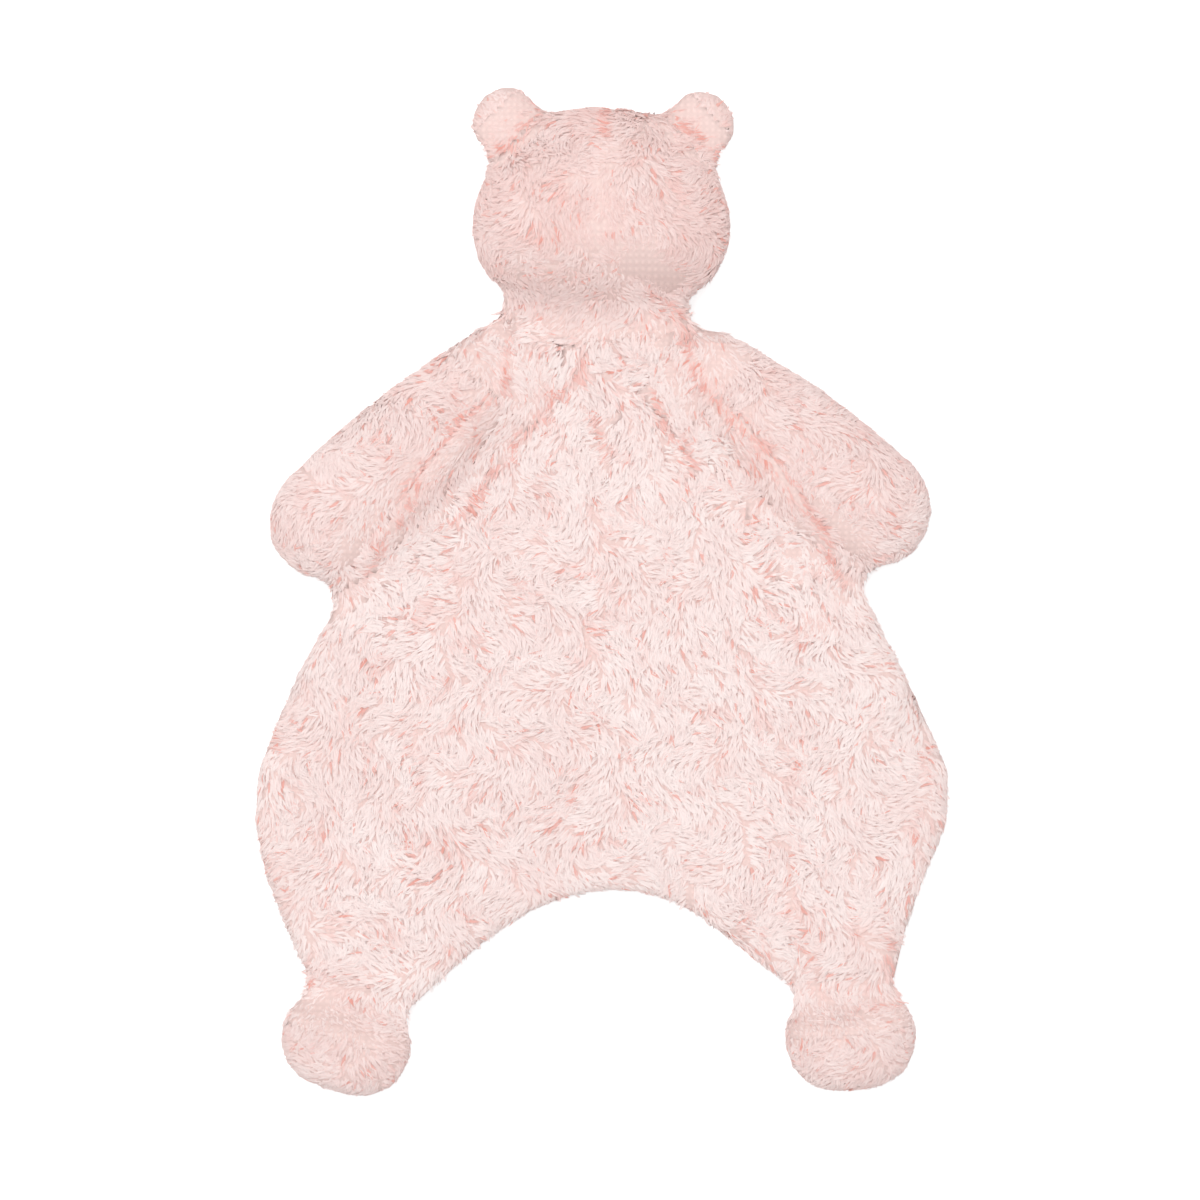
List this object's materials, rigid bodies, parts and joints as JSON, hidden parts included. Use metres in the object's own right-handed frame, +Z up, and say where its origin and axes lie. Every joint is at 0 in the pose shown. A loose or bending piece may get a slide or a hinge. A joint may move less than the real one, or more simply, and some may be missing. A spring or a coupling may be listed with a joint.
{
  "type": "comfort blanket lovey",
  "caption": "Flat plush bear comfort blanket with a stuffed head, arms and feet, lying face down.",
  "frame": {"origin": "under the middle of the whole bear, on the surface that it lies on", "axes": "+Y from the feet to the head, +Z up out of the bear's back, +X to its right side"},
  "size_m": [0.1991, 0.287, 0.0498],
  "materials": {
    "plush_back": "cream pink shaggy plush, pile about 8 mm",
    "plush_front": "cream pink shaggy plush, pile about 8 mm, on the underside",
    "plush_head": "cream pink shaggy plush, pile about 8 mm, a little deeper in tone",
    "sewing_thread": "spun polyester sewing thread, coral pink",
    "fibre_filling": "loose white polyester fibre",
    "eye_stitching": "dark brown satin stitches",
    "nose_stitching": "rose satin stitches"
  },
  "bodies": {
    "blanket": {"blanket_back_panel": "plush_back", "blanket_front_panel": "plush_front", "left_side_seam_thread": "sewing_thread", "right_side_seam_thread": "sewing_thread", "leg_arch_seam_thread": "sewing_thread", "neck_gather_thread": "sewing_thread", "left_ankle_gather_thread": "sewing_thread", "right_ankle_gather_thread": "sewing_thread"},
    "head": {"head_back_left_panel": "plush_head", "head_back_right_panel": "plush_head", "head_face_panel": "plush_head", "head_stuffing": "fibre_filling", "muzzle": "plush_head", "left_eye": "eye_stitching", "right_eye": "eye_stitching", "nose": "nose_stitching"},
    "left_ear": {"left_ear_back_panel": "plush_head", "left_ear_front_panel": "plush_head"},
    "right_ear": {"right_ear_back_panel": "plush_head", "right_ear_front_panel": "plush_head"},
    "left_arm": {"left_arm_back_panel": "plush_back", "left_arm_front_panel": "plush_front", "left_arm_stuffing": "fibre_filling"},
    "right_arm": {"right_arm_back_panel": "plush_back", "right_arm_front_panel": "plush_front", "right_arm_stuffing": "fibre_filling"},
    "left_foot": {"left_foot_back_panel": "plush_back", "left_foot_front_panel": "plush_front", "left_foot_stuffing": "fibre_filling"},
    "right_foot": {"right_foot_back_panel": "plush_back", "right_foot_front_panel": "plush_front", "right_foot_stuffing": "fibre_filling"}
  },
  "joints": [
    {"name": "neck_nod", "type": "hinge", "parent": "blanket", "child": "head", "pos_m": [0, 0.0826, 0.01425], "axis": [-1, 0, 0], "range_deg": [-60, 70]},
    {"name": "left_ear_flop", "type": "hinge", "parent": "head", "child": "left_ear", "pos_m": [-0.02612, 0.13236, 0.0305], "axis": [-0.7132, -0.7009, 0], "range_deg": [-35, 35], "stiffness_Nm_per_rad": 0.002},
    {"name": "right_ear_flop", "type": "hinge", "parent": "head", "child": "right_ear", "pos_m": [0.0271, 0.1315, 0.0305], "axis": [-0.6884, 0.7254, 0], "range_deg": [-35, 35], "stiffness_Nm_per_rad": 0.002},
    {"name": "left_shoulder_lift", "type": "hinge", "parent": "blanket", "child": "left_arm", "pos_m": [-0.0301, 0.0684, 0.01327], "axis": [-0.7021, 0.712, 0], "range_deg": [-80, 80]},
    {"name": "right_shoulder_lift", "type": "hinge", "parent": "blanket", "child": "right_arm", "pos_m": [0.0316, 0.0672, 0.01297], "axis": [-0.6794, -0.7337, 0], "range_deg": [-80, 80]},
    {"name": "left_ankle_lift", "type": "hinge", "parent": "blanket", "child": "left_foot", "pos_m": [-0.0706, -0.1197, 0.00975], "axis": [-0.9613, 0.2756, 0], "range_deg": [-70, 70]},
    {"name": "right_ankle_lift", "type": "hinge", "parent": "blanket", "child": "right_foot", "pos_m": [0.0703, -0.11749, 0.00975], "axis": [-0.9954, -0.0958, 0], "range_deg": [-70, 70]}
  ]
}
